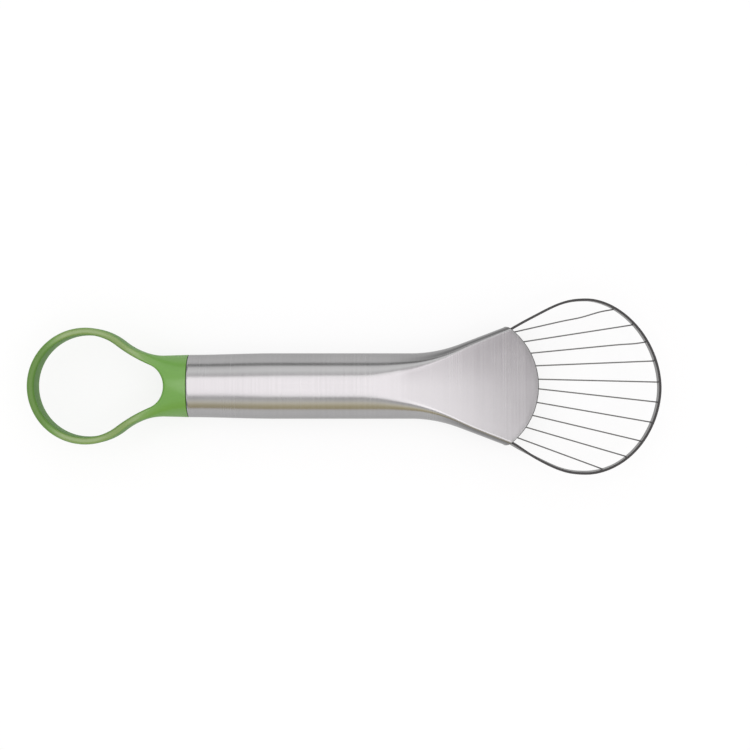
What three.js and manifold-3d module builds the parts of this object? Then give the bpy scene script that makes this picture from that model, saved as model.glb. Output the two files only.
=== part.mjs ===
// Avocado slicer: a steel tube handle with a moulded pitting ring at one end and, at the other,
// a steel strip loop strung with cutting wires. Millimetres, +X from ring to loop, +Z up.
// The pieces are laid out from the seam between ring and tube, on the tool's long axis.
import * as THREE from "three";
import { mergeVertices } from "three/addons/utils/BufferGeometryUtils.js";
import Module from "manifold-3d";

// Pitting ring and its collar
const ringRadius = 21.6;
const bandThickness = 2.7;
const bandHeight = 11.5;
const ringToSeam = 37.7;
const ringFillet = 24;
const holeEndRadius = 8.5;
const holeSideRadius = 60;
const collarWaist = 11.3;
const collarLength = 8.4;
const shoulderLength = 34;
const domeLength = 24;
const edgeRound = 1.1;
const seamRound = 0.2;

// Spigot that plugs the tube
const spigotLength = 18;
const spigotWall = 2;
const spigotGap = 0.4;
const spigotChamfer = 0.8;
const coreFloor = 4;
const crushRibCount = 6;
const crushRibWidth = 1.4;
const crushRibProud = 0.2;

// Handle tube: round barrel, then a wedge that spreads into a fan
const tubeEndRadius = 11.6;
const barrelRadius = 12.2;
const barrelTaper = 32;
const barrelLength = 69.5;
const flareLength = 60.7;
const flareAngle = THREE.MathUtils.degToRad(20.8);
const flareLag = 13.5;
const flareBend = 18;
const pinchBend = 12;
const tubeWall = 0.8;
const mouthHeight = 6.3;
const mouthRadius = 26.8;
const boreEdge = 0.9;
const edgeSettle = 47.5;
const faceBend = 16;
const topFacet = 3.4;
const rimRound = 0.25;
const seamGap = 0.3;

// Slicing loop
const loopReach = 45.5;
const loopWidth = 65.8;
const loopTipDepth = 27.8;
const loopShoulder = 8.3;
const loopFullness = 1.88;
const neckLead = 19.3;
const neckAngle = THREE.MathUtils.degToRad(31);
const stripHeight = 5;
const stripThickness = 0.7;
const legLength = 12;

// Anchor bar and plug in the fan's mouth
const barRecess = 1;
const barThickness = 2;
const plugLength = 9;

// Wires: a little skew in the loop, their inner ends set to +Y and their outer ends turned to -Y
const wireCount = 10;
const wireRadius = 0.25;
const barHoleMargin = 1.45;
const barCentreGap = 3.4;
const barHoleShift = 0.9;
const stripHoleSpread = THREE.MathUtils.degToRad(145.8);
const stripHoleSkew = THREE.MathUtils.degToRad(3.1);

// Clearances between pieces that seat on each other
const seatGap = 0.3;
const wireGap = 0.15;

// Facet counts and working margins
const quarterSteps = 7;
const barrelSteps = 4;
const flareSteps = 17;
const ringSteps = 20;
const filletSteps = 8;
const collarSteps = 5;
const edgeSteps = 3;
const bandSteps = 3;
const neckSteps = 10;
const tipSteps = 18;
const arcSteps = 24;
const wireSides = 10;
const holeSides = 12;
const roundSides = 40;
const overrun = 3;

const ringX = -ringToSeam;
const fanX = barrelLength;
const apexX = fanX + flareLength;
const mouthX = apexX - mouthRadius;
const tipX = apexX + loopReach;
const widestX = tipX - loopTipDepth;

const wasm = await Module();
wasm.setup();

// Solids and surfaces

function toSolid(geometry) {
  const bare = geometry.clone();
  bare.deleteAttribute("normal");
  bare.deleteAttribute("uv");
  const welded = mergeVertices(bare);
  const vertProperties = Float32Array.from(welded.attributes.position.array);
  const triVerts = Uint32Array.from(welded.index.array);
  return new wasm.Manifold(new wasm.Mesh({ numProp: 3, vertProperties, triVerts }));
}

function toGeometry(solid) {
  const { vertProperties, triVerts } = solid.getMesh();
  const geometry = new THREE.BufferGeometry();
  geometry.setAttribute("position", new THREE.BufferAttribute(vertProperties, 3));
  geometry.setIndex(new THREE.BufferAttribute(triVerts, 1));
  geometry.computeVertexNormals();
  return geometry;
}

// A closed skin through rings of points; the last ring joins the first
function closedLoft(rings) {
  const perRing = rings[0].length;
  const points = rings.flat();
  const index = [];
  for (let i = 0; i < rings.length; i++) {
    const here = i * perRing;
    const next = ((i + 1) % rings.length) * perRing;
    for (let k = 0; k < perRing; k++) {
      const beside = (k + 1) % perRing;
      index.push(here + k, here + beside, next + k);
      index.push(here + beside, next + beside, next + k);
    }
  }
  const geometry = new THREE.BufferGeometry().setFromPoints(points);
  geometry.setIndex(index);
  return geometry;
}

// A plan outline given height, centred on the tool's axis
function slab(shape, height) {
  const options = { depth: height, bevelEnabled: false, curveSegments: arcSteps };
  return toSolid(new THREE.ExtrudeGeometry(shape, options).translate(0, 0, -height / 2));
}

// A round bar along the line from one point to another
function rod(from, to, radius, sides) {
  const run = to.clone().sub(from);
  const turn = new THREE.Quaternion().setFromUnitVectors(
    new THREE.Vector3(0, 1, 0),
    run.clone().normalize(),
  );
  return new THREE.CylinderGeometry(radius, radius, run.length(), sides)
    .applyQuaternion(turn)
    .translate(...from.clone().lerp(to, 0.5));
}

function flatPoint(point) {
  return new THREE.Vector3(point.x, point.y, 0);
}

// Handle tube

// How far a line has gone sideways, per unit of slope, once it has bent over and run on straight
function bendThenStraight(distance, bend) {
  if (distance <= 0) {
    return 0;
  }
  return distance < bend ? distance ** 2 / (2 * bend) : distance - bend / 2;
}

// Outer half sizes of the tube at a distance from the seam, and half the width of its flat face
function tubeForm(x) {
  const radius = THREE.MathUtils.lerp(
    tubeEndRadius,
    barrelRadius,
    THREE.MathUtils.smoothstep(x, 0, barrelTaper),
  );
  const along = x - fanX;
  const pinchSlope = (barrelRadius - mouthHeight / 2) / (flareLength - pinchBend / 2);
  const faceRun = bendThenStraight(along + faceBend / 2, faceBend);
  const settle = Math.max(0, 1 - faceRun / edgeSettle);
  const mouthEdge = boreEdge + tubeWall;
  const edge = mouthEdge + (radius - topFacet / 2 - mouthEdge) * settle ** 2;
  const halfWidth = radius + Math.tan(flareAngle) * bendThenStraight(along - flareLag, flareBend);
  const halfHeight = radius - pinchSlope * bendThenStraight(along, pinchBend);
  return { halfWidth, halfHeight, edge, flat: halfWidth - edge };
}

// One ring of the tube's skin, flat above and below with round sides
function tubeRing(x, inset) {
  const { halfHeight, edge, flat } = tubeForm(x);
  const quarter = [];
  for (let k = 0; k <= quarterSteps; k++) {
    const turn = (k / quarterSteps) * (Math.PI / 2);
    const y = flat + (edge - inset) * Math.cos(turn);
    const z = k === 0 ? 0 : (halfHeight - inset) * Math.sin(turn);
    quarter.push(new THREE.Vector3(x, y, z));
  }
  const upper = [...quarter, ...quarter.map((p) => new THREE.Vector3(x, -p.y, p.z)).reverse()];
  const lower = upper.slice(1, -1).map((p) => new THREE.Vector3(x, p.y, -p.z));
  return [...upper, ...lower.reverse()];
}

function tubeStations() {
  const stations = [];
  for (let k = 1; k <= barrelSteps; k++) {
    stations.push(seamGap + ((barrelTaper - seamGap) * k) / barrelSteps);
  }
  const faceStart = fanX - faceBend / 2;
  for (let k = 0; k <= flareSteps; k++) {
    stations.push(THREE.MathUtils.lerp(faceStart, apexX + overrun, k / flareSteps));
  }
  return stations;
}

// Everything behind the round mouth
function mouthTrim() {
  const far = loopWidth;
  const shape = new THREE.Shape();
  shape.moveTo(-overrun, -far);
  shape.lineTo(mouthX, -far);
  shape.lineTo(mouthX, -mouthRadius);
  shape.absarc(mouthX, 0, mouthRadius, -Math.PI / 2, Math.PI / 2);
  shape.lineTo(mouthX, far);
  shape.lineTo(-overrun, far);
  return slab(shape, 4 * barrelRadius);
}

function handleTube() {
  const stations = tubeStations();
  const outside = stations.map((x) => tubeRing(x, 0));
  const inside = stations.map((x) => tubeRing(x, tubeWall)).reverse();
  const rim = [
    tubeRing(seamGap, tubeWall),
    tubeRing(seamGap, rimRound),
    tubeRing(seamGap + rimRound, 0),
  ];
  const skin = toSolid(closedLoft([...rim, ...outside, ...inside]));
  return toGeometry(skin.intersect(mouthTrim()));
}

// Pitting ring

// Half width of the ring's plan outline at a distance from the seam
function ringHalfWidth(x) {
  const { waistX, filletCentre, outerTurn } = ringArcs();
  if (x > waistX) {
    return THREE.MathUtils.lerp(tubeEndRadius, collarWaist, x / waistX);
  }
  if (x > ringX + ringRadius * Math.cos(outerTurn)) {
    return filletCentre.y - Math.sqrt(ringFillet ** 2 - (x - filletCentre.x) ** 2);
  }
  return Math.sqrt(Math.max(0, ringRadius ** 2 - (x - ringX) ** 2));
}

// Centres and turning points of the arcs in the ring's outer outline and its hole
function ringArcs() {
  const holeRadius = ringRadius - bandThickness;
  const waistRun = (ringRadius + ringFillet) ** 2 - (collarWaist + ringFillet) ** 2;
  const waistX = ringX + Math.sqrt(waistRun);
  const filletCentre = new THREE.Vector2(waistX, collarWaist + ringFillet);
  const holeEndX = -collarLength - holeEndRadius;
  const span = holeEndX - ringX;
  const bodyReach = holeRadius + holeSideRadius;
  const endReach = holeEndRadius + holeSideRadius;
  const sideRun = (bodyReach ** 2 - endReach ** 2 + span ** 2) / (2 * span);
  const sideCentre = new THREE.Vector2(ringX + sideRun, Math.sqrt(bodyReach ** 2 - sideRun ** 2));
  return {
    holeRadius,
    waistX,
    filletCentre,
    holeEndX,
    sideCentre,
    outerTurn: Math.atan2(filletCentre.y, filletCentre.x - ringX),
    innerTurn: Math.atan2(sideCentre.y, sideCentre.x - ringX),
    endTurn: Math.atan2(sideCentre.y, sideCentre.x - holeEndX),
  };
}

function arcWalk(centreX, centreY, radius, from, to) {
  return (share) => {
    const turn = THREE.MathUtils.lerp(from, to, share);
    return new THREE.Vector2(centreX + radius * Math.cos(turn), centreY + radius * Math.sin(turn));
  };
}

function lineWalk(from, to) {
  return (share) => from.clone().lerp(to, share);
}

// Matching points of the hole and the outer outline, from the ring's far end round to the seam
function ringPairs() {
  const arcs = ringArcs();
  const { filletCentre, sideCentre, outerTurn, innerTurn, endTurn } = arcs;
  const corner = new THREE.Vector2(0, tubeEndRadius);
  const waist = new THREE.Vector2(arcs.waistX, collarWaist);
  const cornerTurn = endTurn / 2;
  const stretches = [
    {
      steps: ringSteps,
      outer: arcWalk(ringX, 0, ringRadius, Math.PI, outerTurn),
      inner: arcWalk(ringX, 0, arcs.holeRadius, Math.PI, innerTurn),
    },
    {
      steps: filletSteps,
      outer: arcWalk(...filletCentre, ringFillet, outerTurn + Math.PI, 1.5 * Math.PI),
      inner: arcWalk(...sideCentre, holeSideRadius, innerTurn + Math.PI, endTurn + Math.PI),
    },
    {
      steps: collarSteps,
      outer: lineWalk(waist, corner),
      inner: arcWalk(arcs.holeEndX, 0, holeEndRadius, endTurn, cornerTurn),
    },
    {
      steps: collarSteps,
      outer: lineWalk(corner, new THREE.Vector2(0, 0)),
      inner: arcWalk(arcs.holeEndX, 0, holeEndRadius, cornerTurn, 0),
    },
  ];
  const half = [];
  for (const { steps, outer, inner } of stretches) {
    for (let k = 0; k < steps; k++) {
      half.push({ inner: inner(k / steps), outer: outer(k / steps) });
    }
  }
  const middle = { inner: new THREE.Vector2(-collarLength, 0), outer: new THREE.Vector2(0, 0) };
  const flip = (point) => new THREE.Vector2(point.x, -point.y);
  const mirrored = half.slice(1).map((p) => ({ inner: flip(p.inner), outer: flip(p.outer) }));
  return [...half, middle, ...mirrored.reverse()];
}

// How far the moulding has turned from a plain band into a round collar
function domeShare(x) {
  return THREE.MathUtils.smoothstep(x, -domeLength, 0);
}

// Half height of the moulding: round like the tube at the seam, level across the ring
function ringRoof(point) {
  const rise = THREE.MathUtils.smoothstep(point.x, -shoulderLength, 0);
  const crown = THREE.MathUtils.lerp(bandHeight / 2, tubeEndRadius, rise);
  const across = Math.min(1, Math.abs(point.y) / ringHalfWidth(point.x));
  const sideHeight = THREE.MathUtils.lerp(crown, seamRound, domeShare(point.x));
  return sideHeight + (crown - sideHeight) * Math.sqrt(1 - across ** 2);
}

// One section of the moulding, from its hole out to its edge underneath and back over the top
function bandSection({ inner, outer }) {
  const width = inner.distanceTo(outer);
  const innerRound = Math.min(edgeRound, 0.45 * width);
  const rim = THREE.MathUtils.lerp(innerRound, seamRound, domeShare(outer.x));
  const outerRound = Math.min(rim, 0.9 * ringRoof(outer));
  const stops = [];
  for (let k = 0; k <= edgeSteps; k++) {
    const turn = (k / edgeSteps) * (Math.PI / 2);
    stops.push({ along: innerRound * (1 - Math.cos(turn)), drop: innerRound * (1 - Math.sin(turn)) });
  }
  for (let k = 1; k < bandSteps; k++) {
    const along = THREE.MathUtils.lerp(innerRound, width - outerRound, k / bandSteps);
    stops.push({ along, drop: 0 });
  }
  for (let k = edgeSteps; k >= 0; k--) {
    const turn = (k / edgeSteps) * (Math.PI / 2);
    const along = width - outerRound * (1 - Math.cos(turn));
    stops.push({ along, drop: outerRound * (1 - Math.sin(turn)) });
  }
  const top = stops.map(({ along, drop }) => {
    const point = inner.clone().lerp(outer, along / width);
    return new THREE.Vector3(point.x, point.y, ringRoof(point) - drop);
  });
  const bottom = top.map((p) => new THREE.Vector3(p.x, p.y, -p.z));
  return [...bottom, ...top.reverse()];
}

// A solid of revolution about the tool's axis, from points of radius and distance
function turned(profile, sides) {
  const points = profile.map(([radius, x]) => new THREE.Vector2(radius, x));
  return toSolid(new THREE.LatheGeometry(points, sides).rotateZ(-Math.PI / 2));
}

function pitterRing() {
  const moulding = toSolid(closedLoft(ringPairs().map(bandSection)));
  const spigotRadius = tubeEndRadius - tubeWall - spigotGap;
  const coreRadius = spigotRadius - spigotWall;
  const coreStart = coreFloor - collarLength;
  const rootX = coreStart / 2;
  const spigot = turned(
    [
      [0, rootX],
      [spigotRadius, rootX],
      [spigotRadius, spigotLength - spigotChamfer],
      [spigotRadius - spigotChamfer, spigotLength],
      [0, spigotLength],
    ],
    roundSides,
  );
  const core = turned(
    [
      [0, coreStart],
      [coreRadius, coreStart],
      [coreRadius, spigotLength + overrun],
      [0, spigotLength + overrun],
    ],
    roundSides,
  );
  let solid = moulding.add(spigot);
  const ribEnd = spigotLength - 2 * spigotChamfer;
  const ribDepth = spigotWall / 2 + crushRibProud;
  for (let k = 0; k < crushRibCount; k++) {
    const rib = new THREE.BoxGeometry(ribEnd - rootX, crushRibWidth, ribDepth)
      .translate((ribEnd + rootX) / 2, 0, spigotRadius + crushRibProud - ribDepth / 2)
      .rotateX((k / crushRibCount) * 2 * Math.PI);
    solid = solid.add(toSolid(rib));
  }
  return toGeometry(solid.subtract(core));
}

// Slicing loop

// Furthest out that the strip's outer face can lie inside the fan
function legOuter(x) {
  const { halfHeight, edge, flat } = tubeForm(x);
  const lift = stripHeight / 2 / (halfHeight - tubeWall);
  return flat + (edge - tubeWall) * Math.sqrt(1 - lift ** 2) - seatGap;
}

// Where the strip's outer face leaves the round mouth
function legExit() {
  let low = mouthX;
  let high = apexX;
  const halvings = 40;
  for (let k = 0; k < halvings; k++) {
    const x = (low + high) / 2;
    const outside = (x - mouthX) ** 2 + legOuter(x) ** 2 > mouthRadius ** 2;
    if (outside) {
      high = x;
    } else {
      low = x;
    }
  }
  return new THREE.Vector2(low, legOuter(low));
}

// Distance from the loop's widest point to the strip's outer face, by direction
function loopRadius(turn) {
  const alongX = Math.abs(Math.cos(turn) / loopTipDepth) ** loopFullness;
  const alongY = Math.abs(Math.sin(turn) / (loopWidth / 2)) ** loopFullness;
  return (alongX + alongY) ** (-1 / loopFullness);
}

function loopPoint(turn) {
  const reach = loopRadius(turn);
  return new THREE.Vector2(widestX + reach * Math.cos(turn), reach * Math.sin(turn));
}

// Outer face of the strip in plan: leg, neck and the round of the loop, then the same mirrored
function stripOutline() {
  const exit = legExit();
  const legEndX = exit.x - legLength;
  const top = loopPoint(Math.PI / 2);
  const neck = new THREE.CubicBezierCurve(
    exit,
    exit.clone().add(new THREE.Vector2(neckLead, 0).rotateAround(new THREE.Vector2(), neckAngle)),
    new THREE.Vector2(top.x - loopShoulder, top.y),
    top,
  );
  const half = [new THREE.Vector2(legEndX, legOuter(legEndX)), ...neck.getPoints(neckSteps)];
  for (let k = 1; k < tipSteps; k++) {
    half.push(loopPoint((Math.PI / 2) * (1 - k / tipSteps)));
  }
  const mirrored = half.map((p) => new THREE.Vector2(p.x, -p.y)).reverse();
  return [...half, loopPoint(0), ...mirrored];
}

// The same outline moved inwards by a distance
function movedInwards(outline, distance) {
  return outline.map((point, k) => {
    const before = outline[Math.max(0, k - 1)];
    const after = outline[Math.min(outline.length - 1, k + 1)];
    const run = after.clone().sub(before).normalize();
    return new THREE.Vector2(point.x + run.y * distance, point.y - run.x * distance);
  });
}

function frameStrip(wires) {
  const outside = stripOutline();
  const inside = movedInwards(outside, stripThickness);
  const shape = new THREE.Shape([...outside, ...inside.reverse()]);
  let solid = slab(shape, stripHeight);
  for (const wire of wires) {
    const from = wire.end.clone().addScaledVector(wire.run, -2 * stripThickness);
    const to = wire.end.clone().addScaledVector(wire.run, 2 * stripThickness);
    solid = solid.subtract(toSolid(rod(flatPoint(from), flatPoint(to), wireRadius + wireGap, holeSides)));
  }
  return toGeometry(solid);
}

// Anchor bar and plug

// The line beside the strip's leg that bar and plug stop at, as a height above the axis
function legLine(x) {
  const outside = stripOutline();
  const [end, exit] = movedInwards(outside.slice(0, 2), stripThickness + seatGap);
  return end.y + ((x - end.x) * (exit.y - end.y)) / (exit.x - end.x);
}

// The room between the strip's legs and between the fan's flat walls
function mouthRoom() {
  const backX = legExit().x - plugLength;
  const frontX = apexX;
  const plan = new THREE.Shape([
    new THREE.Vector2(backX, legLine(backX)),
    new THREE.Vector2(backX, -legLine(backX)),
    new THREE.Vector2(frontX, -legLine(frontX)),
    new THREE.Vector2(frontX, legLine(frontX)),
  ]);
  const roof = [];
  for (let k = 0; k <= flareSteps; k++) {
    const x = THREE.MathUtils.lerp(backX - overrun, frontX + overrun, k / flareSteps);
    roof.push(new THREE.Vector2(x, tubeForm(x).halfHeight - tubeWall - seatGap));
  }
  const floor = roof.map((p) => new THREE.Vector2(p.x, -p.y)).reverse();
  const side = new THREE.ExtrudeGeometry(new THREE.Shape([...roof, ...floor]), {
    depth: loopWidth,
    bevelEnabled: false,
  });
  const wedge = side.translate(0, 0, -loopWidth / 2).rotateX(Math.PI / 2);
  return slab(plan, 2 * barrelRadius).intersect(toSolid(wedge));
}

function disc(radius) {
  const shape = new THREE.Shape();
  shape.absarc(mouthX, 0, radius, 0, 2 * Math.PI);
  return slab(shape, 4 * barrelRadius);
}

const barFront = mouthRadius - barRecess;
const barBack = barFront - barThickness;
const barMiddle = (barFront + barBack) / 2;

function anchorBar(wires) {
  let solid = mouthRoom().intersect(disc(barFront)).subtract(disc(barBack));
  for (const wire of wires) {
    const from = wire.start.clone().addScaledVector(wire.run, -2 * barThickness);
    const to = wire.start.clone().addScaledVector(wire.run, 2 * barThickness);
    solid = solid.subtract(toSolid(rod(flatPoint(from), flatPoint(to), wireRadius + wireGap, holeSides)));
  }
  return toGeometry(solid);
}

function mouthPlug() {
  return toGeometry(mouthRoom().intersect(disc(barBack - seatGap)));
}

// Wires

// Direction of the anchor bar's end, seen from the centre of the mouth's arc
function barEndTurn() {
  let low = 0;
  let high = Math.PI / 2;
  const halvings = 40;
  for (let k = 0; k < halvings; k++) {
    const turn = (low + high) / 2;
    if (barMiddle * Math.sin(turn) < legLine(mouthX + barMiddle * Math.cos(turn))) {
      low = turn;
    } else {
      high = turn;
    }
  }
  return low;
}

// Each wire's centre line: its hole in the bar, its hole in the strip and the way between them
function wireRuns() {
  const perSide = wireCount / 2;
  const first = barCentreGap / 2 / barMiddle;
  const last = barEndTurn() - barHoleMargin / barMiddle;
  const pitch = (last - first) / (perSide - 1);
  const runs = [];
  for (let k = 0; k < wireCount; k++) {
    const rank = k < perSide ? perSide - 1 - k : k - perSide;
    const side = k < perSide ? 1 : -1;
    const barTurn = side * (first + pitch * rank) + barHoleShift / barMiddle;
    const stripTurn = stripHoleSpread * (0.5 - k / (wireCount - 1)) - stripHoleSkew;
    const start = arcWalk(mouthX, 0, barMiddle, barTurn, barTurn)(0);
    const face = loopPoint(stripTurn);
    const ahead = loopPoint(stripTurn + 0.01).sub(face).normalize();
    const outward = new THREE.Vector2(ahead.y, -ahead.x);
    const end = face.clone().addScaledVector(outward, -stripThickness / 2);
    const run = end.clone().sub(start).normalize();
    runs.push({ start, end, run, slant: run.dot(outward) });
  }
  return runs;
}

// A wire from the back of the bar to just inside the strip's outer face
function slicingWire({ start, end, run, slant }) {
  const radial = start.clone().sub(new THREE.Vector2(mouthX, 0)).normalize();
  const inside = barThickness / 2 / run.dot(radial);
  const corner = wireRadius * Math.sqrt(1 / slant ** 2 - 1);
  const outside = stripThickness / 2 / slant - corner;
  const from = start.clone().addScaledVector(run, -inside);
  const to = end.clone().addScaledVector(run, outside);
  return rod(flatPoint(from), flatPoint(to), wireRadius, wireSides);
}

// Assembly

const brushedSteel = { color: 0xc9c8ca, roughness: 0.34, metalness: 1 };
const stripSteel = { color: 0x9a9a9c, roughness: 0.3, metalness: 1 };
const wireSteel = { color: 0xb4b3b5, roughness: 0.3, metalness: 1 };
const greenPlastic = { color: 0x6ea24c, roughness: 0.38, metalness: 0 };
const greyPlastic = { color: 0x55585a, roughness: 0.55, metalness: 0 };

const slicer = new THREE.Group();
slicer.position.set(-(tipX + ringX - ringRadius) / 2, 0, barrelRadius);

function addPiece(name, geometry, finish) {
  const piece = new THREE.Mesh(geometry, new THREE.MeshStandardMaterial(finish));
  piece.name = name;
  slicer.add(piece);
}

const wires = wireRuns();
addPiece("handle_tube", handleTube(), brushedSteel);
addPiece("pitter_ring", pitterRing(), greenPlastic);
addPiece("frame_strip", frameStrip(wires), stripSteel);
addPiece("anchor_bar", anchorBar(wires), stripSteel);
addPiece("mouth_plug", mouthPlug(), greyPlastic);
wires.forEach((wire, k) => {
  const number = String(k + 1).padStart(2, "0");
  addPiece(`slicing_wire_${number}`, slicingWire(wire), wireSteel);
});

export default slicer;
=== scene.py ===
import bpy
import bmesh
import math
from mathutils import Matrix, Vector


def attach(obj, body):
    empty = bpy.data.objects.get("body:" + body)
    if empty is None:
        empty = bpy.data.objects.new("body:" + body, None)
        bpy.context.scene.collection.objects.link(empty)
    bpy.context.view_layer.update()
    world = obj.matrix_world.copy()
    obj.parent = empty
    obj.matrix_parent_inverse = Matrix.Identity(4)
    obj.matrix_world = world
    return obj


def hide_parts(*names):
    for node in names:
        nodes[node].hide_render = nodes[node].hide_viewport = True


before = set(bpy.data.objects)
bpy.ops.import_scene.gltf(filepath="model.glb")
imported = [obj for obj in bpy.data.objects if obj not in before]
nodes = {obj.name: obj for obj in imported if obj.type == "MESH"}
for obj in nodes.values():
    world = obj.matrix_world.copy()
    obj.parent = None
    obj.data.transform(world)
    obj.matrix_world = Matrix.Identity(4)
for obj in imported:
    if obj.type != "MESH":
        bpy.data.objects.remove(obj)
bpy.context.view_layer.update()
scene = bpy.context.scene
scene.view_settings.view_transform = "Standard"

# sizes of the pieces are millimetres from the seam between ring and tube, on the tool's axis
layout = {"seamX": -58.2, "axisZ": 12.2, "perMetre": 1000}
meshing = {"mergeDistance": 1e-7, "sharpAngle": 34, "searchSteps": 40}
quarter = math.pi / 2


def place(x, y, z):
    unit = layout["perMetre"]
    return Vector(((x + layout["seamX"]) / unit, y / unit, (z + layout["axisZ"]) / unit))


def fromSeam(spot):
    return spot.x * layout["perMetre"] - layout["seamX"]


def mix(a, b, share):
    return a + (b - a) * share


def smoothStep(value, low, high):
    share = min(1, max(0, (value - low) / (high - low)))
    return share * share * (3 - 2 * share)


# up from 0 to 1 over the first stretch, and down by the drop over the second
def hump(value, rise, fall, drop=1):
    return smoothStep(value, *rise) * (1 - drop * smoothStep(value, *fall))


# the highest value between two limits for which a test still holds
def lastHolding(low, high, holds):
    for k in range(meshing["searchSteps"]):
        middle = (low + high) / 2
        if holds(middle):
            low = middle
        else:
            high = middle
    return low


# the first section starts as a circle with as many points, and each later one is pulled from the one before
def pullSections(bm, sections, closed):
    order = bm.verts.layers.int.new("order")
    bmesh.ops.create_circle(bm, segments=len(sections[0]), radius=1)
    bm.verts.ensure_lookup_table()
    for k, v in enumerate(bm.verts):
        v[order] = k
        v.co = sections[0][k]
    edges = list(bm.edges)
    firstEdges = list(bm.edges)
    for points in sections[1:]:
        pulled = bmesh.ops.extrude_edge_only(bm, edges=edges)["geom"]
        newVerts = {g for g in pulled if isinstance(g, bmesh.types.BMVert)}
        edges = [g for g in pulled if isinstance(g, bmesh.types.BMEdge) and newVerts.issuperset(g.verts)]
        for v in newVerts:
            v.co = points[v[order]]
    if closed:
        bmesh.ops.bridge_loops(bm, edges=firstEdges + edges)
    else:
        for loop in (firstEdges, edges):
            bmesh.ops.contextual_create(bm, geom=loop)


def finishPiece(name, bm, node, material):
    bmesh.ops.remove_doubles(bm, verts=bm.verts, dist=meshing["mergeDistance"])
    bmesh.ops.recalc_face_normals(bm, faces=bm.faces)
    sharp = math.radians(meshing["sharpAngle"])
    for face in bm.faces:
        face.smooth = True
    for edge in bm.edges:
        if len(edge.link_faces) == 2 and edge.calc_face_angle() > sharp:
            edge.smooth = False
    mesh = bpy.data.meshes.new(name)
    bm.to_mesh(mesh)
    bm.free()
    piece = bpy.data.objects.new(name, mesh)
    scene.collection.objects.link(piece)
    mesh.materials.append(material)
    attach(piece, "root")
    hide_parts(node)
    return piece


def newMaterial(name):
    material = bpy.data.materials.new(name)
    material.use_nodes = True
    tree = material.node_tree
    return material, tree, tree.nodes["Principled BSDF"]


# each input is linked to a socket, or set to a constant
def feed(tree, node, inputs):
    for key, source in inputs.items():
        socket = node.inputs[key]
        if isinstance(source, bpy.types.NodeSocket):
            tree.links.new(source, socket)
        else:
            socket.default_value = (*source, 1) if socket.type == "RGBA" else source


def addNode(tree, kind, inputs=None, **values):
    node = tree.nodes.new(kind)
    for key, value in values.items():
        setattr(node, key, value)
    feed(tree, node, inputs or {})
    return node


def addMath(tree, operation, *terms):
    return addNode(tree, "ShaderNodeMath", dict(enumerate(terms)), operation=operation).outputs[0]


def addRange(tree, value, source=(0, 1), target=(0, 1), clamp=True):
    labels = ("Value", "From Min", "From Max", "To Min", "To Max")
    inputs = dict(zip(labels, (value, *source, *target)))
    return addNode(tree, "ShaderNodeMapRange", inputs, clamp=clamp).outputs["Result"]


# the sockets of a mix node share their names, so those for values or colours go by number
def mixValues(tree, share, first, second):
    inputs = {"Factor": share, 2: first, 3: second}
    return addNode(tree, "ShaderNodeMix", inputs, data_type="FLOAT").outputs[0]


def mixColours(tree, share, first, second, blend="MIX"):
    inputs = {"Factor": share, 6: first, 7: second}
    return addNode(tree, "ShaderNodeMix", inputs, data_type="RGBA", blend_type=blend).outputs[2]


def addNoise(tree, scale, detail=2.0):
    coords = addNode(tree, "ShaderNodeTexCoord")
    inputs = {"Vector": coords.outputs["Object"], "Scale": scale, "Detail": detail}
    return addNode(tree, "ShaderNodeTexNoise", inputs).outputs["Fac"]


def addBump(tree, height, strength, depth):
    inputs = {"Height": height, "Strength": strength, "Distance": depth}
    return addNode(tree, "ShaderNodeBump", inputs).outputs["Normal"]


def readMask(tree, name):
    return addNode(tree, "ShaderNodeAttribute", attribute_name=name).outputs["Fac"]


# brush marks: fine scratches along one direction, with cloudy handling marks over them
brush = {
    "inputs": ("Tone Dark", "Tone Light", "Rough Low", "Rough High", "Cloud Size"),
    "scratchDetail": 4.0, "scratchRough": 0.62, "cloudDetail": 3.0, "cloudShare": 0.35,
    "contrast": (0.3, 0.7), "depth": 0.00003, "alongTurn": 0.25,
}


def makeBrushGroup():
    b = brush
    group = bpy.data.node_groups.new("brushMarks", "ShaderNodeTree")
    group.interface.new_socket("Place", in_out="INPUT", socket_type="NodeSocketVector")
    for label in b["inputs"]:
        group.interface.new_socket(label, in_out="INPUT", socket_type="NodeSocketFloat")
    for label in ("Tone", "Rough", "Height"):
        group.interface.new_socket(label, in_out="OUTPUT", socket_type="NodeSocketFloat")
    given = addNode(group, "NodeGroupInput").outputs
    lines = {"Vector": given["Place"], "Scale": 1.0, "Detail": b["scratchDetail"],
             "Roughness": b["scratchRough"]}
    scratches = addNode(group, "ShaderNodeTexNoise", lines).outputs["Fac"]
    clouds = addNoise(group, given["Cloud Size"], b["cloudDetail"])
    fine = addMath(group, "MULTIPLY", scratches, 1 - b["cloudShare"])
    marks = addMath(group, "MULTIPLY_ADD", clouds, b["cloudShare"], fine)
    addNode(group, "NodeGroupOutput", {
        "Tone": addRange(group, marks, b["contrast"], (given["Tone Dark"], given["Tone Light"])),
        "Rough": addRange(group, marks, b["contrast"], (given["Rough Low"], given["Rough High"])),
        "Height": scratches,
    })
    return group


brushGroup = makeBrushGroup()


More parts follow.
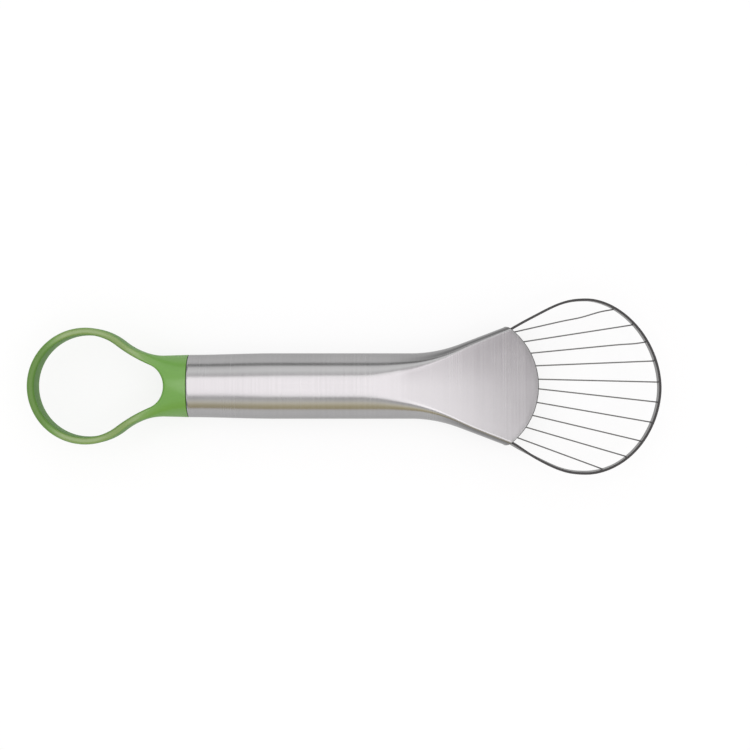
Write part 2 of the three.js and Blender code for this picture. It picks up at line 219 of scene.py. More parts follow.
def brushedSteel(name, look):
    material, tree, shader = newMaterial(name)
    coords = addNode(tree, "ShaderNodeTexCoord")
    stretched = {"Vector": coords.outputs["Object"], "Scale": look["grain"]}
    given = {label: look[label] for label in brush["inputs"]}
    given["Place"] = addNode(tree, "ShaderNodeMapping", stretched).outputs["Vector"]
    marks = addNode(tree, "ShaderNodeGroup", given, node_tree=brushGroup)
    tone = marks.outputs["Tone"]
    # on the handle a mask paints shade onto the fan's sides and lightens the crease as a painted highlight
    if "paintedSideTone" in look:
        paintedSideShading = addRange(tree, readMask(tree, "paintedSideMask"), target=(1, look["paintedSideTone"]), clamp=False)
        tone = addMath(tree, "MULTIPLY", tone, paintedSideShading)
    feed(tree, shader, {
        "Base Color": mixColours(tree, 1, tone, look["tint"], "MULTIPLY"),
        "Roughness": marks.outputs["Rough"],
        "Normal": addBump(tree, marks.outputs["Height"], look["bump"], brush["depth"]),
        "Metallic": 1,
    })
    if "edgeTint" in look:
        feed(tree, shader, {"Specular Tint": look["edgeTint"]})
    if "anisotropy" in look:
        tangent = addNode(tree, "ShaderNodeTangent", direction_type="RADIAL", axis="X")
        feed(tree, shader, {
            "Tangent": tangent.outputs["Tangent"],
            "Anisotropic": look["anisotropy"],
            "Anisotropic Rotation": brush["alongTurn"],
        })
    return material


# handle tube
handle = {
    "tubeEndRadius": 11.6, "barrelRadius": 12.2, "barrelTaper": 32, "barrelLength": 69.5,
    "flareLength": 60.7, "flareAngle": 20.8, "flareLag": 13.5, "flareBend": 18, "pinchBend": 12,
    "wall": 0.8, "mouthHeight": 6.3, "mouthRadius": 26.8, "boreEdge": 0.9, "edgeSettle": 47.5,
    "topFacet": 2.4, "faceBend": 16, "faceCurve": (0.09, 0.01), "faceInset": 0.35, "fanCrown": 0.5,
    "seamGap": 0.2, "rimRound": 0.25, "rimChamfer": 0.08, "rimRun": 0.4,
    "mouthRound": 0.3, "mouthCorner": 1.0, "cutShare": 1.1, "sideSoft": 0.5, "softRun": (-5, 12),
    "sideSteps": 18, "flatSteps": 16, "barrelStations": 14, "flareStations": 52, "lipSteps": 4,
    "boreStations": (6, 20), "warpStart": 88, "warpTries": 18,
    # a painted highlight along the crease, and painted shade on the far and near sides of the fan
    "creaseHighlight": {"depth": 0.33, "rise": (-0.1, 0.02), "fall": (0.08, 0.2)},
    "farSide": {"depth": 1.0, "rise": (0.3, 0.54), "fall": (0.62, 0.85), "drop": 0.6,
                "shadeRun": (0, 32), "creaseRun": (0, 32)},
    "nearSide": {"depth": 0.75, "rise": (0.1, 0.34), "fall": (0.5, 0.85), "drop": 0.5,
                 "shadeRun": (18, 36), "creaseRun": (8, 20)},
    # the finish's last entry sets how dark the painted shade on the fan's sides gets
    "finish": {"grain": (2400, 14, 14), "tint": (1.0, 0.993, 0.998), "Tone Dark": 0.37, "Tone Light": 0.43,
               "Rough Low": 0.2, "Rough High": 0.29, "Cloud Size": 55.0, "bump": 0.04, "anisotropy": 0.35,
               "edgeTint": (0.7, 0.7, 0.7), "paintedSideTone": 0.38},
    # the mouth's rounded lip and cut face are painted dark: painted shade and dark reflection along the lip
    "paintedShadeLip": {"grain": (900, 900, 900), "tint": (1.0, 0.98, 0.97), "Tone Dark": 0.09, "Tone Light": 0.13,
                "Rough Low": 0.35, "Rough High": 0.5, "Cloud Size": 120.0, "bump": 0.1},
}
fanX = handle["barrelLength"]
apexX = fanX + handle["flareLength"]
mouthX = apexX - handle["mouthRadius"]


def bendThenStraight(distance, bend):
    if distance <= 0:
        return 0
    return distance ** 2 / (2 * bend) if distance < bend else distance - bend / 2


# half the height, the width of a round side and half the width of the flat between the sides
def tubeForm(x):
    h = handle
    radius = mix(h["tubeEndRadius"], h["barrelRadius"], smoothStep(x, 0, h["barrelTaper"]))
    along = x - fanX
    settle = max(0, 1 - bendThenStraight(along + h["faceBend"] / 2, h["faceBend"]) / h["edgeSettle"])
    mouthEdge = h["boreEdge"] + h["wall"]
    edge = mouthEdge + (radius - h["topFacet"] / 2 - mouthEdge) * settle ** 2
    spread = math.tan(math.radians(h["flareAngle"]))
    halfWidth = radius + spread * bendThenStraight(along - h["flareLag"], h["flareBend"])
    pinchLength = h["flareLength"] - h["pinchBend"] / 2
    pinch = (h["barrelRadius"] - h["mouthHeight"] / 2) / pinchLength
    fanShare = min(1, max(0, (along - h["pinchBend"] / 2) / pinchLength))
    crown = h["fanCrown"] * math.sin(math.pi * fanShare)
    halfHeight = radius - pinch * bendThenStraight(along, h["pinchBend"]) + crown
    return halfHeight, edge, halfWidth - edge


# the fan's sides are a little rounder towards the mouth than those of its solid
def softForm(x):
    halfHeight, edge, flat = tubeForm(x)
    soft = handle["sideSoft"] * smoothStep(x - mouthX, *handle["softRun"])
    return halfHeight, edge + soft, flat - soft


# the fan's face is a little round across, most on its far half: its slope where it meets the sides
def faceSlope(x, y):
    curve = handle["faceCurve"][0 if y > 0 else 1]
    return curve * smoothStep(x, fanX - handle["faceBend"] / 2, fanX + handle["faceBend"])


# how far the mouth draws back as it comes to the fan's sides
def cornerDrop(y, edge, flat):
    share = min(1, max(0, 1 - (flat + edge - y) / handle["mouthCorner"]))
    return handle["mouthCorner"] * (1 - math.sqrt(1 - share ** 2))


# one ring of the skin; near the mouth the ring leans back to follow the mouth's round plan
def tubeSection(x, inset, back=0):
    h = handle
    lean = max(0, (x - h["warpStart"]) / (apexX - h["warpStart"]))
    tries = h["warpTries"] if lean else 1

    # a point of the flat has its share across it, and a point of a round side has none
    def skinPoint(turn, across, side):
        onSide = across is None
        here = x
        for k in range(tries):
            halfHeight, edge, flat = softForm(here)
            slope = faceSlope(here, side if onSide else side * across)
            sideTurn = turn * (1 - math.atan(slope * edge / halfHeight) / quarter)
            y = flat + (edge - inset) * math.cos(sideTurn) if onSide else (flat - h["faceInset"]) * across
            arcX = mouthX + math.sqrt(max(0, h["mouthRadius"] ** 2 - y ** 2))
            here = x + lean * (arcX - apexX - cornerDrop(y, edge, flat))
        fall = slope * flat / 2 * (1 if onSide else across ** 2)
        z = (softForm(here)[0] - inset - fall) * math.sin(sideTurn if onSide else turn)
        return place(here - back, side * y, z)

    sideTurns = [quarter * k / h["sideSteps"] for k in range(-h["sideSteps"], h["sideSteps"] + 1)]
    acrossTop = [1 - 2 * k / h["flatSteps"] for k in range(h["flatSteps"] + 1)]
    points = [skinPoint(turn, None, 1) for turn in sideTurns]
    points += [skinPoint(quarter, across, 1) for across in acrossTop]
    points += [skinPoint(turn, None, -1) for turn in reversed(sideTurns)]
    points += [skinPoint(-quarter, across, -1) for across in acrossTop]
    return points


# from the rim at the collar along the outside, round the lip of the mouth and back through the bore
def handleSections():
    h = handle
    start = h["seamGap"] + h["rimRound"]
    bendX = fanX - h["faceBend"] / 2
    sections = [tubeSection(h["seamGap"], h["wall"]), tubeSection(h["seamGap"], h["rimRound"])]
    sections.append(tubeSection(h["seamGap"] + h["rimChamfer"], h["rimChamfer"]))
    sections.append(tubeSection(start, 0))
    barrel, fan = h["barrelStations"], h["flareStations"]
    sections += [tubeSection(mix(start + h["rimRun"], bendX, k / barrel), 0) for k in range(barrel)]
    sections += [tubeSection(mix(bendX, apexX, k / fan), 0) for k in range(fan)]
    lip = h["mouthRound"]
    for k in range(h["lipSteps"] + 1):
        turn = quarter * k / h["lipSteps"]
        sections.append(tubeSection(apexX, lip * (1 - math.cos(turn)), lip * (1 - math.sin(turn))))
    sections.append(tubeSection(apexX, h["wall"] - lip))
    sections.append(tubeSection(apexX, h["wall"], lip))
    barrel, fan = h["boreStations"]
    bore = [mix(start, fanX, k / barrel) for k in range(1, barrel)]
    bore += [mix(fanX, apexX, k / fan) for k in range(fan)]
    return sections + [tubeSection(x, h["wall"]) for x in reversed(bore)]


# the fan's round sides carry a painted reflection: painted shade along their middle, deepest on the far
# side, and a painted highlight at the crease
def paintedSideReflection(x, y):
    edge, flat = softForm(x)[1:]
    across = (abs(y) - flat) / edge
    side = handle["farSide" if y > 0 else "nearSide"]
    shade = side["depth"] * hump(across, side["rise"], side["fall"], side["drop"])
    creaseHighlight = handle["creaseHighlight"]
    paintedHighlight = creaseHighlight["depth"] * hump(across, creaseHighlight["rise"], creaseHighlight["fall"])
    along = x - fanX
    return shade * smoothStep(along, *side["shadeRun"]) - paintedHighlight * smoothStep(along, *side["creaseRun"])


def makeHandle():
    h = handle
    bm = bmesh.new()
    pullSections(bm, handleSections(), True)
    steel = brushedSteel("handleSteel", h["finish"])
    piece = finishPiece("handleTube", bm, "handle_tube", steel)
    # the lip and cut face of the mouth take the dark tone, a painted dark line along the mouth
    piece.data.materials.append(brushedSteel("paintedShadeLip", h["paintedShadeLip"]))
    centreX = place(mouthX, 0, 0).x
    cutReach = (h["mouthRadius"] - h["cutShare"] * h["mouthRound"]) / layout["perMetre"]
    for face in piece.data.polygons:
        reach = math.hypot(face.center.x - centreX, face.center.y)
        if face.center.x > centreX and reach > cutReach:
            face.material_index = 1
    # the mask for the painted shade and painted highlight on the fan's sides
    paintedSideMask = piece.data.attributes.new("paintedSideMask", "FLOAT", "POINT")
    for v in piece.data.vertices:
        paintedSideMask.data[v.index].value = paintedSideReflection(fromSeam(v.co), v.co.y * layout["perMetre"])


makeHandle()
print("handle made")

# pitting ring with its collar; its zones are the top of the band with a painted sheen, its far end with
# painted shade where that sheen is left off, and its upright walls with painted shade
ring = {
    "radius": 21.6, "bandThickness": 2.7, "bandHeight": 11.5, "toSeam": 37.7, "fillet": 24,
    "holeEndRadius": 8.5, "holeSideRadius": 60, "collarWaist": 11.3, "collarLength": 8.4,
    "shoulderLength": 34, "domeLength": 24, "edgeRound": 1.1, "seamRound": 0.2,
    "roundShare": 0.45, "roofShare": 0.9, "leastWidth": 1e-6,
    "steps": (64, 24, 14, 14), "edgeSteps": 6, "bandSteps": 10,
    "spigotRadius": 10.4, "spigotLength": 18, "spigotRoot": 2, "spigotSides": 64,
    "green": (0.116, 0.312, 0.028), "greenDark": (0.104, 0.292, 0.023), "bodyRough": (0.4, 0.48),
    # zone colours: a painted sheen, paler, on the top of the band; painted shade, darker, on its far end
    # where the sheen is left off and on the upright walls
    "zones": {"paintedSheenTop": {"green": (0.175, 0.28, 0.065), "rough": 0.26},
              "paintedShadeTip": {"green": (0.104, 0.218, 0.037), "rough": 0.6},
              "wall": {"green": (0.095, 0.24, 0.032), "rough": 0.63}},
    "uprightRange": (0.2, 0.85), "sheenFade": (-54, -45),
    "bodyCoat": 0.95, "topCoat": 1.0, "tipCoat": 0.1, "coatRough": 0.24, "refraction": 1.48,
    "cloudSize": 90.0, "cloudDetail": 4.0, "skinSize": 2600.0, "skinBump": 0.1, "skinDepth": 0.00002,
}
ringX = -ring["toSeam"]


def ringArcs():
    r = ring
    a = {"hole": r["radius"] - r["bandThickness"]}
    a["waistX"] = ringX + math.sqrt((r["radius"] + r["fillet"]) ** 2 - (r["collarWaist"] + r["fillet"]) ** 2)
    a["fillet"] = (a["waistX"], r["collarWaist"] + r["fillet"])
    a["endX"] = -r["collarLength"] - r["holeEndRadius"]
    span = a["endX"] - ringX
    body = a["hole"] + r["holeSideRadius"]
    sideRun = (body ** 2 - (r["holeEndRadius"] + r["holeSideRadius"]) ** 2 + span ** 2) / (2 * span)
    a["side"] = (ringX + sideRun, math.sqrt(body ** 2 - sideRun ** 2))
    a["outerTurn"] = math.atan2(a["fillet"][1], a["fillet"][0] - ringX)
    a["innerTurn"] = math.atan2(a["side"][1], a["side"][0] - ringX)
    a["endTurn"] = math.atan2(a["side"][1], a["side"][0] - a["endX"])
    return a


arcs = ringArcs()


def arcWalk(centre, radius, start, end):
    def walk(share):
        turn = mix(start, end, share)
        return Vector((centre[0] + radius * math.cos(turn), centre[1] + radius * math.sin(turn)))
    return walk


def lineWalk(start, end):
    return lambda share: Vector(start).lerp(Vector(end), share)


def ringHalfWidth(x):
    if x > arcs["waistX"]:
        return mix(handle["tubeEndRadius"], ring["collarWaist"], x / arcs["waistX"])
    if x > ringX + ring["radius"] * math.cos(arcs["outerTurn"]):
        return arcs["fillet"][1] - math.sqrt(ring["fillet"] ** 2 - (x - arcs["fillet"][0]) ** 2)
    return math.sqrt(max(0, ring["radius"] ** 2 - (x - ringX) ** 2))


# half the moulding's height at a point of its plan: flat on the band, round at the collar
def ringRoof(point):
    swell = smoothStep(point.x, -ring["shoulderLength"], 0)
    crown = mix(ring["bandHeight"] / 2, handle["tubeEndRadius"], swell)
    dome = smoothStep(point.x, -ring["domeLength"], 0)
    across = min(1, abs(point.y) / max(ring["leastWidth"], ringHalfWidth(point.x)))
    side = mix(crown, ring["seamRound"], dome)
    return side + (crown - side) * math.sqrt(1 - across ** 2)


# a section across the band, from the hole's wall over the top to the outer wall and back underneath
def bandSection(inner, outer):
    width = (outer - inner).length
    innerRound = min(ring["edgeRound"], ring["roundShare"] * width)
    dome = smoothStep(outer.x, -ring["domeLength"], 0)
    outerRound = min(mix(innerRound, ring["seamRound"], dome), ring["roofShare"] * ringRoof(outer))
    turns = [quarter * k / ring["edgeSteps"] for k in range(ring["edgeSteps"] + 1)]
    stops = [(innerRound * (1 - math.cos(turn)), innerRound * (1 - math.sin(turn))) for turn in turns]
    for k in range(1, ring["bandSteps"]):
        stops.append((mix(innerRound, width - outerRound, k / ring["bandSteps"]), 0))
    for turn in reversed(turns):
        stops.append((width - outerRound * (1 - math.cos(turn)), outerRound * (1 - math.sin(turn))))
    top = []
    for along, drop in stops:
        p = inner.lerp(outer, along / width)
        top.append((p.x, p.y, ringRoof(p) - drop))
    bottom = [(x, y, -z) for x, y, z in reversed(top)]
    return [place(*p) for p in top + bottom]


# the far half is walked from the ring's end to the seam, outside and hole together, and then mirrored
def ringSections():
    a = arcs
    corner = a["endTurn"] / 2
    stretches = (
        (arcWalk((ringX, 0), ring["radius"], math.pi, a["outerTurn"]),
         arcWalk((ringX, 0), a["hole"], math.pi, a["innerTurn"])),
        (arcWalk(a["fillet"], ring["fillet"], a["outerTurn"] + math.pi, 1.5 * math.pi),
         arcWalk(a["side"], ring["holeSideRadius"], a["innerTurn"] + math.pi, a["endTurn"] + math.pi)),
        (lineWalk((a["waistX"], ring["collarWaist"]), (0, handle["tubeEndRadius"])),
         arcWalk((a["endX"], 0), ring["holeEndRadius"], a["endTurn"], corner)),
        (lineWalk((0, handle["tubeEndRadius"]), (0, 0)),
         arcWalk((a["endX"], 0), ring["holeEndRadius"], corner, 0)),
    )
    pairs = []
    for steps, (outer, inner) in zip(ring["steps"], stretches):
        pairs += [(inner(k / steps), outer(k / steps)) for k in range(steps)]
    middle = (Vector((-ring["collarLength"], 0)), Vector((0, 0)))
    flip = [(Vector((i.x, -i.y)), Vector((o.x, -o.y))) for i, o in reversed(pairs[1:])]
    return [bandSection(i, o) for i, o in pairs + [middle] + flip]


def greenPlastic():
    r = ring
    material, tree, shader = newMaterial("greenPlastic")
    cloud = addNoise(tree, r["cloudSize"], r["cloudDetail"])
    colour = mixColours(tree, cloud, r["greenDark"], r["green"])
    rough = addRange(tree, cloud, target=r["bodyRough"])
    # each zone's mask paints its colour over the body: a painted sheen or painted shade
    for name, zone in r["zones"].items():
        mask = readMask(tree, name)
        colour = mixColours(tree, mask, colour, zone["green"])
        rough = mixValues(tree, mask, rough, zone["rough"])
    feed(tree, shader, {
        "Base Color": colour,
        "Roughness": rough,
        "Normal": addBump(tree, addNoise(tree, r["skinSize"]), r["skinBump"], r["skinDepth"]),
        "Coat Weight": readMask(tree, "shine"),
        "Coat Roughness": r["coatRough"],
        "IOR": r["refraction"],
    })
    return material


# a mask for each zone and one for the shine; all of them are made before any is filled
def paintRing(mesh):
    r = ring
    names = (*r["zones"], "shine")
    for name in names:
        mesh.attributes.new(name, "FLOAT", "POINT")
    masks = {name: mesh.attributes[name].data for name in names}
    for v in mesh.vertices:
        x = fromSeam(v.co)
        upright = 1 - smoothStep(abs(v.normal.z), *r["uprightRange"])
        onBand = 1 - smoothStep(x, -r["domeLength"], -r["collarLength"])
        # the painted sheen of the band's top, and its coat, fade out towards the ring's far end
        sheenKept = smoothStep(x, *r["sheenFade"])
        shine = mix(r["bodyCoat"], mix(r["tipCoat"], r["topCoat"], sheenKept), onBand)
        # painted shade on the upright walls and on the far end, a painted sheen on the rest of the band's
        # top
        masks["wall"][v.index].value = upright * onBand
        masks["paintedSheenTop"][v.index].value = (1 - upright) * onBand * sheenKept
        masks["paintedShadeTip"][v.index].value = (1 - upright) * onBand * (1 - sheenKept)
        masks["shine"][v.index].value = (1 - upright) * shine


def makeRing():
    r = ring
    bm = bmesh.new()
    pullSections(bm, ringSections(), True)
    # the spigot shows only as a dark line in the seam
    radius = r["spigotRadius"] / layout["perMetre"]
    length = (r["spigotLength"] + r["spigotRoot"]) / layout["perMetre"]
    middle = Matrix.Translation(place((r["spigotLength"] - r["spigotRoot"]) / 2, 0, 0))
    bmesh.ops.create_cone(bm, cap_ends=True, segments=r["spigotSides"], radius1=radius, radius2=radius,
                          depth=length, matrix=middle @ Matrix.Rotation(quarter, 4, "Y"))
    piece = finishPiece("pittingRing", bm, "pitter_ring", greenPlastic())
    paintRing(piece.data)


makeRing()
print("ring made")

# slicing loop
strip = {
    "reach": 45.5, "width": 65.8, "tipDepth": 27.8, "shoulder": 8.3, "fullness": 1.88,
    "neckLead": 19.3, "neckAngle": 31,
    "height": 5.0, "thickness": 0.7, "inward": 0.17, "legLength": 12, "seatGap": 0.3, "edgeRound": 0.07,
    "legSteps": 6, "neckSteps": 30, "tipSteps": 60, "edgeFacing": 0.5,
    "neckLean": 0.4, "neckLeanRun": (-10, 2), "tipLean": 0.3, "tipLeanEnd": 8, "leanFade": 4,
    "legTwist": 0.13, "twistRise": (-3, 0.5), "twistFall": (1, 9),
    "sideTilt": 0.07, "tiltRise": (4.5, 13.5), "tiltFade": 14,
    "finish": {"grain": (300, 300, 3000), "tint": (1.0, 0.99, 0.98), "Tone Dark": 0.14, "Tone Light": 0.2,
               "Rough Low": 0.26, "Rough High": 0.4, "Cloud Size": 120.0, "bump": 0.1,
               "edgeTint": (0.85, 0.85, 0.85)},
    "sheared": {"grain": (2500, 2500, 2500), "tint": (1.0, 0.98, 0.97), "Tone Dark": 0.045,
                "Tone Light": 0.07, "Rough Low": 0.4, "Rough High": 0.55, "Cloud Size": 120.0, "bump": 0.2},
}
tipX = apexX + strip["reach"]
widestX = tipX - strip["tipDepth"]


# the outer face of a leg, which follows the inside of the fan
def legOuter(x):
    halfHeight, edge, flat = tubeForm(x)
    lift = strip["height"] / 2 / (halfHeight - handle["wall"])
    return flat + (edge - handle["wall"]) * math.sqrt(1 - lift ** 2) - strip["seatGap"]


# where a leg leaves the mouth
def legExit():
    def within(x):
        return (x - mouthX) ** 2 + legOuter(x) ** 2 <= handle["mouthRadius"] ** 2

    x = lastHolding(mouthX, apexX, within)
    return Vector((x, legOuter(x)))


legOut = legExit()


def loopPoint(turn):
    n = strip["fullness"]
    along = abs(math.cos(turn) / strip["tipDepth"]) ** n
    across = abs(math.sin(turn) / (strip["width"] / 2)) ** n
    reach = (along + across) ** (-1 / n)
    return Vector((widestX + reach * math.cos(turn), reach * math.sin(turn)))


# the loop is bent a little to the near side, and no wider there than it was
def leaned(p):
    lean = strip["neckLean"] * smoothStep(p.x - apexX, *strip["neckLeanRun"])
    lean += strip["tipLean"] * smoothStep(p.x, widestX, tipX - strip["tipLeanEnd"])
    if p.y < 0:
        lean *= 1 - (p.y / (strip["width"] / 2)) ** strip["leanFade"]
    return Vector((p.x, p.y - lean))


# the near side isn't upright: its leg is twisted with the foot out, and further on the foot leans in
def stripTilt(p):
    if p.y > 0:
        return 0, 0
    out = p.x - legOut.x
    twist = hump(out, strip["twistRise"], strip["twistFall"])
    tilt = smoothStep(out, *strip["tiltRise"]) * (1 - smoothStep(p.x - widestX, 0, strip["tiltFade"]))
    return strip["legTwist"] * twist, strip["sideTilt"] * tilt


# leg, neck and half the loop on the far side, then the same mirrored
def stripOutline():
    s = strip
    top = loopPoint(quarter)
    turn = math.radians(s["neckAngle"])
    lead = legOut + Vector((math.cos(turn), math.sin(turn))) * s["neckLead"]
    knee = Vector((top.x - s["shoulder"], top.y))
    half = []
    for k in range(s["legSteps"]):
        x = mix(legOut.x - s["legLength"], legOut.x, k / s["legSteps"])
        half.append(Vector((x, legOuter(x))))
    for k in range(s["neckSteps"]):
        t = k / s["neckSteps"]
        r = 1 - t
        half.append(legOut * r ** 3 + lead * 3 * t * r ** 2 + knee * 3 * t ** 2 * r + top * t ** 3)
    half += [loopPoint(quarter * (1 - k / s["tipSteps"])) for k in range(s["tipSteps"])]
    return half + [loopPoint(0)] + [Vector((p.x, -p.y)) for p in reversed(half)]


outline = stripOutline()


def stripSections():
    r, t, h = strip["edgeRound"], strip["thickness"] + strip["inward"], strip["height"] / 2
    profile = [(0, -h + r), (0, h - r), (r, h), (t - r, h), (t, h - r), (t, -h + r), (t - r, -h), (r, -h)]
    sections = []
    for k, p in enumerate(outline):
        before = outline[max(0, k - 1)]
        after = outline[min(len(outline) - 1, k + 1)]
        run = (after - before).normalized()
        inward = Vector((run.y, -run.x))
        twist, tilt = stripTilt(p)
        p = leaned(p)
        section = []
        for d, z in profile:
            d += z * twist + (h - z) * tilt
            section.append(place(p.x + inward.x * d, p.y + inward.y * d, z))
        sections.append(section)
    return sections


def makeStrip():
    bm = bmesh.new()
    pullSections(bm, stripSections(), False)
    steel = brushedSteel("stripSteel", strip["finish"])
    piece = finishPiece("frameStrip", bm, "frame_strip", steel)
    piece.data.materials.append(brushedSteel("shearedEdge", strip["sheared"]))
    for face in piece.data.polygons:
        face.material_index = 1 if abs(face.normal.z) > strip["edgeFacing"] else 0


makeStrip()
print("strip made")

# cutting wires, numbered from the far side; kinks have a place along the wire and a size
wires = {
    "count": 10, "radius": 0.25, "sides": 16, "rows": 28, "proud": 0.03, "aheadTurn": 0.01,
    "barFront": 25.8, "barBack": 23.8, "holeMargin": 1.45, "centreGap": 3.4, "shift": 0.9,
    "spread": 145.8, "skew": 3.1, "settled": {1: -0.4, 2: -0.7, 3: -0.3, 5: -0.3, 9: 0.5, 10: -0.6},
    "kinks": {1: ((0.66, -0.2), (0.86, 0.25)), 3: ((0.9, -0.2),)}, "kinkLength": 0.09, "kinkFade": 12,
    "finish": {"grain": (900, 900, 900), "tint": (1.0, 0.99, 0.98), "Tone Dark": 0.125, "Tone Light": 0.18,
               "Rough Low": 0.28, "Rough High": 0.4, "Cloud Size": 200.0, "bump": 0.05},
}
barMiddle = (wires["barFront"] + wires["barBack"]) / 2


# the inner side of a leg, as a straight line that the bar's ends keep clear of
def legLine(x):
    a, b = outline[0], outline[strip["legSteps"]]
    run = (b - a).normalized()
    inward = Vector((run.y, -run.x)) * (strip["thickness"] + strip["seatGap"])
    a, b = a + inward, b + inward
    return a.y + (x - a.x) * (b.y - a.y) / (b.x - a.x)


def barEndTurn():
    def clear(turn):
        return barMiddle * math.sin(turn) < legLine(mouthX + barMiddle * math.cos(turn))

    return lastHolding(0, quarter, clear)


barEnd = barEndTurn()


# both ends of a wire, and the way the strip faces where it comes out
def wireLine(k):
    w = wires
    perSide = w["count"] // 2
    first = w["centreGap"] / 2 / barMiddle
    pitch = (barEnd - w["holeMargin"] / barMiddle - first) / (perSide - 1)
    rank = perSide - 1 - k if k < perSide else k - perSide
    side = 1 if k < perSide else -1
    barTurn = side * (first + pitch * rank) + w["shift"] / barMiddle
    stripTurn = math.radians(w["spread"] * (0.5 - k / (w["count"] - 1)) - w["skew"])
    stripTurn += w["settled"].get(k + 1, 0) / (strip["width"] / 2)
    start = Vector((mouthX + barMiddle * math.cos(barTurn), barMiddle * math.sin(barTurn)))
    face = loopPoint(stripTurn)
    ahead = (loopPoint(stripTurn + w["aheadTurn"]) - face).normalized()
    outward = Vector((ahead.y, -ahead.x))
    end = face - outward * strip["thickness"] / 2
    run = (end - start).normalized()
    radial = Vector((math.cos(barTurn), math.sin(barTurn)))
    behind = (w["barFront"] - w["barBack"]) / 2 / run.dot(radial)
    beyond = (strip["thickness"] / 2 + w["proud"]) / run.dot(outward)
    tilted = run * (stripTilt(end)[1] * strip["height"] / 2) / run.dot(outward)
    return start - run * behind, leaned(end + run * beyond - tilted), outward


# two of the wires have small kinks in them
def wireKink(number, share):
    fade = min(1, wires["kinkFade"] * (1 - share))
    kinks = wires["kinks"].get(number, ())
    return fade * sum(size * math.exp(-((share - spot) / wires["kinkLength"]) ** 2) for spot, size in kinks)


def wireSections(k):
    w = wires
    start, end, outward = wireLine(k)
    run = (end - start).normalized()
    across = Vector((-run.y, run.x))
    sections = []
    for row in range(w["rows"] + 1):
        share = row / w["rows"]
        p = start.lerp(end, share) + across * wireKink(k + 1, share)
        section = []
        for s in range(w["sides"]):
            turn = 2 * math.pi * s / w["sides"]
            edge = p + across * w["radius"] * math.cos(turn)
            # the end is ground off level with the strip
            if share == 1:
                edge -= run * (edge - p).dot(outward) / run.dot(outward)
            section.append(place(edge.x, edge.y, w["radius"] * math.sin(turn)))
        sections.append(section)
    return sections


def makeWires():
    steel = brushedSteel("wireSteel", wires["finish"])
    for k in range(wires["count"]):
        node = "slicing_wire_%02d" % (k + 1)
        bm = bmesh.new()
        pullSections(bm, wireSections(k), False)
        finishPiece("wire%02d" % (k + 1), bm, node, steel)


makeWires()
print("wires made")

# bar and plug keep their solids
inside = {
    "bar": {"grain": (400, 400, 2000), "tint": (1.0, 0.99, 0.98), "Tone Dark": 0.25, "Tone Light": 0.33,
            "Rough Low": 0.35, "Rough High": 0.5, "Cloud Size": 150.0, "bump": 0.1},
    "plug": {"light": (0.09, 0.093, 0.096), "dark": (0.07, 0.072, 0.075), "grain": 1500.0, "rough": 0.6,
             "bump": 0.15, "depth": 0.00003},
}


def greyPlastic(look):
    material, tree, shader = newMaterial("greyPlastic")
    grain = addNoise(tree, look["grain"])
    feed(tree, shader, {
        "Base Color": mixColours(tree, grain, look["dark"], look["light"]),
        "Roughness": look["rough"],
        "Normal": addBump(tree, grain, look["bump"], look["depth"]),
    })
    return material


def finishInside():
    finishes = {"anchor_bar": brushedSteel("barSteel", inside["bar"]),
                "mouth_plug": greyPlastic(inside["plug"])}
    for name, material in finishes.items():
        nodes[name].data.materials.clear()
        nodes[name].data.materials.append(material)


finishInside()
print("bar and plug finished")

# floor, light and camera, in metres and degrees
studio = {
    "floorSize": 16.0, "floorLight": (0.96, 0.96, 0.96), "floorDark": (0.94, 0.94, 0.94),
    "floorCloud": 3.0, "floorRough": 0.9, "floorGlow": 0.8,
    "boxHeight": 1.2, "boxSize": (1.02, 1.28), "boxShift": (-0.013, 0.0), "boxTurn": 32, "boxPower": 6.1,
    "cameraPlace": (0.0112, 0.0041, 0.632), "lens": 79.9, "sensorWidth": 36, "clipStart": 0.01,
}


# what is seen of the floor, straight or in a reflection, is close to white and keeps the shadow
def paleFloor():
    s = studio
    material, tree, shader = newMaterial("paleFloor")
    cloud = addNoise(tree, s["floorCloud"])
    feed(tree, shader, {
        "Base Color": mixColours(tree, cloud, s["floorDark"], s["floorLight"]),
        "Roughness": s["floorRough"],
        "Specular IOR Level": 0,
    })
    path = addNode(tree, "ShaderNodeLightPath")
    seen = path.outputs["Is Camera Ray"]
    for ray in ("Is Glossy Ray", "Is Transmission Ray"):
        seen = addMath(tree, "MAXIMUM", seen, path.outputs[ray])
    share = addMath(tree, "MULTIPLY", seen, s["floorGlow"])
    glow = addNode(tree, "ShaderNodeEmission")
    shaders = {"Fac": share, 1: shader.outputs[0], 2: glow.outputs[0]}
    blend = addNode(tree, "ShaderNodeMixShader", shaders)
    feed(tree, tree.nodes["Material Output"], {"Surface": blend.outputs[0]})
    return material


def makeFloor():
    bm = bmesh.new()
    bmesh.ops.create_grid(bm, x_segments=1, y_segments=1, size=studio["floorSize"] / 2)
    mesh = bpy.data.meshes.new("floor")
    bm.to_mesh(mesh)
    bm.free()
    floor = bpy.data.objects.new("floor", mesh)
    scene.collection.objects.link(floor)
    mesh.materials.append(paleFloor())


def makeLight():
    box = bpy.data.lights.new("softBox", "AREA")
    box.shape = "RECTANGLE"
    box.size, box.size_y = studio["boxSize"]
    box.energy = studio["boxPower"]
    lamp = bpy.data.objects.new("softBox", box)
    lamp.location = (*studio["boxShift"], studio["boxHeight"])
    lamp.rotation_euler = (0, 0, math.radians(studio["boxTurn"]))
    scene.collection.objects.link(lamp)


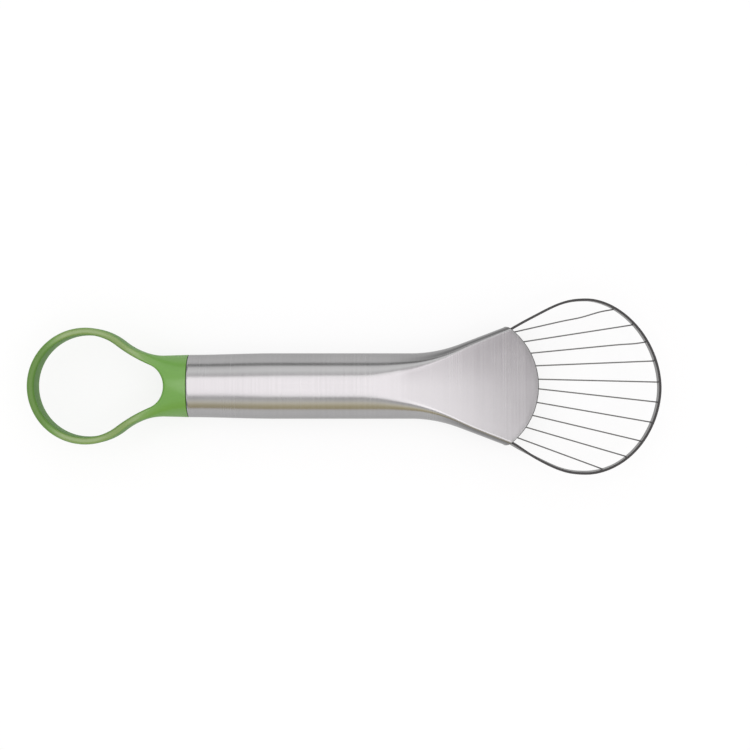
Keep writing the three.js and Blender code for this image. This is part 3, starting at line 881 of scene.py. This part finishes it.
# room light by the sine of the height: dim along the horizon, pale above it, and warm on the near side
room = {
    "far": ((0.0, (0.3, 0.3, 0.3)), (0.2, (0.34, 0.34, 0.34)), (0.3, (1.42, 1.42, 1.42)),
            (0.6, (1.42, 1.42, 1.42)), (0.75, (1.1, 1.1, 1.1)), (0.86, (0.7, 0.67, 0.69))),
    "near": ((0.0, (0.62, 0.52, 0.3)), (0.25, (0.82, 0.72, 0.45)), (0.5, (1.18, 1.1, 0.88)),
             (0.65, (0.92, 0.91, 0.88)), (0.82, (0.66, 0.64, 0.65))),
    "ends": ((0.0, (0.28, 0.28, 0.28)), (0.4, (0.34, 0.34, 0.34)), (0.55, (1.2, 1.2, 1.2)),
             (0.72, (1.1, 1.1, 1.1)), (0.86, (0.7, 0.67, 0.69))),
    "overhead": (0.95, (0.65, 0.57, 0.62)),
    "nearToFar": (-0.35, 0.15), "sidesToEnds": (0.12, 0.32),
}


def heightRamp(tree, height, stops):
    ramp = addNode(tree, "ShaderNodeValToRGB", {"Fac": height})
    elements = ramp.color_ramp.elements
    for k, (spot, colour) in enumerate(stops):
        stop = elements[k] if k < len(elements) else elements.new(spot)
        stop.position = spot
        stop.color = (*colour, 1)
    return ramp.outputs["Color"]


def makeRoom():
    world = bpy.data.worlds.new("room")
    world.use_nodes = True
    tree = world.node_tree
    coords = addNode(tree, "ShaderNodeTexCoord")
    way = addNode(tree, "ShaderNodeSeparateXYZ", {0: coords.outputs["Generated"]}).outputs
    light = {}
    for name in ("far", "near", "ends"):
        light[name] = heightRamp(tree, way["Z"], (*room[name], room["overhead"]))
    toFar = addRange(tree, way["Y"], room["nearToFar"])
    sides = mixColours(tree, toFar, light["near"], light["far"])
    toEnds = addRange(tree, addMath(tree, "ABSOLUTE", way["X"]), room["sidesToEnds"])
    feed(tree, tree.nodes["Background"], {"Color": mixColours(tree, toEnds, sides, light["ends"])})
    scene.world = world


def makeCamera():
    lens = bpy.data.cameras.new("camera")
    lens.lens = studio["lens"]
    lens.sensor_width = studio["sensorWidth"]
    lens.clip_start = studio["clipStart"]
    camera = bpy.data.objects.new("camera", lens)
    camera.location = studio["cameraPlace"]
    scene.collection.objects.link(camera)
    scene.camera = camera


makeFloor()
makeLight()
makeRoom()
makeCamera()
print("studio made")
